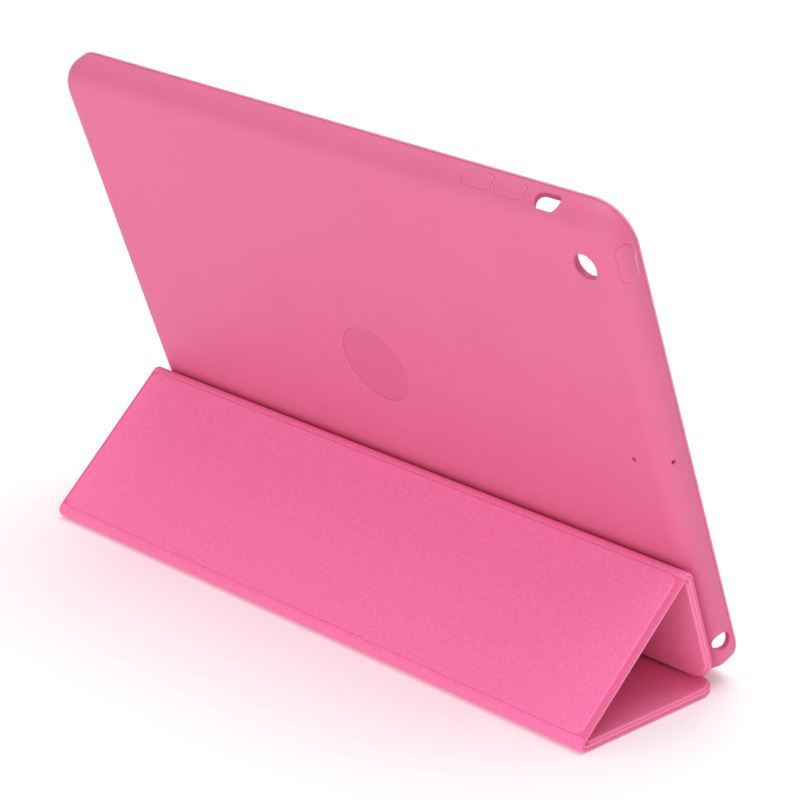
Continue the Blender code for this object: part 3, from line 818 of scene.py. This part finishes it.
def build_spine():
    """The spine's two plies, the leather turned back under the tray, and its glued end."""
    near = -SPINE_RUN + SPINE_END - FOLD_SHORT
    far = -SPINE_START
    for kind, slot, material, sign in (("leather", "leather", LEATHER, 1),
                                       ("lining", "microfibre", FELT, -1)):
        rings = []
        # The rolled edge's values: a painted highlight on the leather, darker on the microfibre.
        profile = [(SPINE_INNER, 0.0, 0.0)] + rolled_edge(SPINE_THIN, SPINE_ROLL)
        for inset, drop, painted_highlight_and_tone in profile + [(SPINE_INNER, SPINE_THIN, 0.0)]:
            loop = rounded_loop((-SPINE_HALF_LENGTH + inset, near + inset),
                                (SPINE_HALF_LENGTH - inset, far - inset),
                                [max(SPINE_CORNER - inset, SHARP)] * 4)
            rings.append(([(x, y, sign * (SPINE_HALF - drop)) for x, y in loop], painted_highlight_and_tone))
        obj = solid_from_rings("spine_soft_" + kind, rings, SPINE_FRAME)
        dress(obj, slot, material, ("spine_" + kind,))
        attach(obj, "spine")

    tray_low = TRAY_FRAME @ Vector((0.0, EDGE, -EDGE))
    low = (tray_low.z - HINGE["spine_hinge"].z) / MM - EDGE - GLUE_GAP
    middle = SPINE_HALF - SPINE_THIN / 2
    glued = low - SPINE_THIN / 2
    radius = (glued - middle) / 2
    centre = (ROOT_CENTRE, middle + radius)
    path = [(far - ROOT_LAP, middle)]
    path += arc(centre, radius, -pi / 2, pi / 2, ROOT_STEPS)
    path.append((ROOT_END, glued))
    stations = []
    for i, point in enumerate(path):
        share = 1 - i / (len(path) - 1)
        angle = -pi / 2 + pi * min(max(i - 1, 0) / ROOT_STEPS, 1.0)
        outward = (cos(angle), sin(angle))
        face = (point[0] + outward[0] * SPINE_THIN / 2, point[1] + outward[1] * SPINE_THIN / 2)
        stations.append((share, face, outward, SPINE_THIN, ROOT_ROLL))
    bending_strip("root_fold_soft_leather", stations, SPINE_HALF_LENGTH, SPINE_FRAME,
                  "leather", LEATHER, ("root_fold_leather",))

    rings = []
    lowest = -pi / 2 - (pi - TRAY_LEAN)
    for i in range(GLUED_STEPS + 1):
        angle = lowest - radians(GLUED_START + GLUED_SPAN * i / GLUED_STEPS)
        way = (cos(angle), sin(angle))
        reach = EDGE + GLUE_GAP + SPINE_THIN
        side = rolled_edge(SPINE_THIN - GLUED_THINNER, SPINE_ROLL)
        outline = [(SPINE_HALF_LENGTH - inset, reach - drop) for inset, drop, _ in side]
        outline += [(-x, r) for x, r in reversed(outline)]
        rings.append(([(x, EDGE + r * way[0], -EDGE + r * way[1]) for x, r in outline], 0.0))
    anchor = solid_from_rings("spine_glued_edge", rings, TRAY_FRAME)
    dress(anchor, "leather", LEATHER, ("spine_anchor",))
    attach(anchor, "tray")


build_tray()
build_spine()
base_fold()
base_top = PANEL - SPINE_LIFT
panel("base_panel", BASE_FRAME, (-SPINE_END, -SPINE_END - BASE_RUN + FOLD_REACH),
      (True, False), base_top)
panel("rear_panel", REAR_FRAME, (-FOLD_REACH, FOLD_REACH - REAR_RUN), (False, False), 0.0)
panel("tip_panel", TIP_FRAME, (-FOLD_REACH, -TIP_RUN), (False, True), 0.0)
fold("rear_fold", STAND_FRAME, pi - STAND_ANGLE)
fold("top_fold", TOP_FRAME, TIP_LEAN + STAND_ANGLE)

# ---- finish of the CAD nodes that stay ---------------------------------------------------
for node_name, node in frame["nodes"].items():
    if node.hide_render:
        continue
    if node_name.endswith("_board"):
        finish = BOARD
    elif "magnet" in node_name or node_name == "keeper_plate":
        finish = STEEL
    else:
        finish = SHELL_PLASTIC
    node.data.materials.clear()
    node.data.materials.append(finish)

# ---- camera, at the measured view --------------------------------------------------------
AZIMUTH = radians(44.784)
ELEVATION = radians(20.307)
ROLL = radians(1.343)
FOCAL = 3.7024375           # focal length over the picture's width
SIDE, LIFT, DISTANCE = -12.534, 57.39, 992.65      # from the aim, in millimetres

back = Vector((sin(AZIMUTH) * cos(ELEVATION), -cos(AZIMUTH) * cos(ELEVATION), sin(ELEVATION)))
level = Vector((cos(AZIMUTH), sin(AZIMUTH), 0.0))
above = back.cross(level)
right = cos(ROLL) * level + sin(ROLL) * above
up = cos(ROLL) * above - sin(ROLL) * level
aim = Vector((0.0, HINGE["base_panel_hinge"].y - SPINE_END * MM, 0.0))
camera = bpy.data.objects.new("camera", bpy.data.cameras.new("camera"))
bpy.context.scene.collection.objects.link(camera)
camera.location = aim + (DISTANCE * back + SIDE * right + LIFT * up) * MM
camera.rotation_mode = "QUATERNION"
camera.rotation_quaternion = Matrix((right, up, back)).transposed().to_quaternion()
camera.data.lens = FOCAL * camera.data.sensor_width
camera.data.clip_end = 10.0
bpy.context.scene.camera = camera

# ---- studio ------------------------------------------------------------------------------
FLOOR_RADIUS = 2.5          # metres, as are the lights' distance and sizes
FLOOR_DROP = 0.00002        # floor below the table's plane
FLOOR_CORNERS = 64
LIGHT_DISTANCE = 3.0
WORLD_STRENGTH = 0.52
FLOOR_GLOW = 0.14

# Name, azimuth and elevation in degrees, size, strength.
LIGHTS = (
    ("key", 22, 14, 1.6, 0.27),
    ("low", 60, 7, 1.2, 0.07),
    ("overhead", 180, 80, 2.4, 0.52),
)

bpy.context.scene.view_settings.view_transform = "Standard"


def studio_floor():
    """A wide pale matt floor that glows faintly, as if lit from below."""
    turns = [2 * pi * i / FLOOR_CORNERS for i in range(FLOOR_CORNERS)]
    ring = [(FLOOR_RADIUS * cos(a), FLOOR_RADIUS * sin(a), -FLOOR_DROP) for a in turns]
    mesh = bpy.data.meshes.new("studio_floor")
    mesh.from_pydata(ring, [], [tuple(range(FLOOR_CORNERS))])
    obj = bpy.data.objects.new("studio_floor", mesh)
    bpy.context.scene.collection.objects.link(obj)
    nodes = Nodes("studio_floor", 0.9)
    tint = nodes.mix(nodes.noise(60.0), (0.96, 0.96, 0.96), (0.98, 0.98, 0.98))
    nodes.shader.inputs["Emission Color"].default_value = (1.0, 1.0, 1.0, 1.0)
    nodes.shader.inputs["Emission Strength"].default_value = FLOOR_GLOW
    mesh.materials.append(nodes.finish(tint))


def soft_light(name, azimuth, elevation, size, strength):
    """A distant square light; at strength 1 it alone shows a facing white surface white."""
    way = Vector((sin(azimuth) * cos(elevation), -cos(azimuth) * cos(elevation),
                  sin(elevation)))
    light = bpy.data.lights.new(name, "AREA")
    light.shape = "SQUARE"
    light.size = size
    light.energy = strength * (pi * LIGHT_DISTANCE) ** 2
    obj = bpy.data.objects.new(name, light)
    obj.location = LIGHT_DISTANCE * way
    obj.rotation_mode = "QUATERNION"
    obj.rotation_quaternion = way.to_track_quat("Z", "Y")
    bpy.context.scene.collection.objects.link(obj)


studio_floor()
for light_name, azimuth, elevation, size, strength in LIGHTS:
    soft_light(light_name, radians(azimuth), radians(elevation), size, strength)
world = bpy.data.worlds.new("studio")
world.use_nodes = True
background = world.node_tree.nodes["Background"]
background.inputs["Color"].default_value = (1.0, 1.0, 1.0, 1.0)
background.inputs["Strength"].default_value = WORLD_STRENGTH
bpy.context.scene.world = world
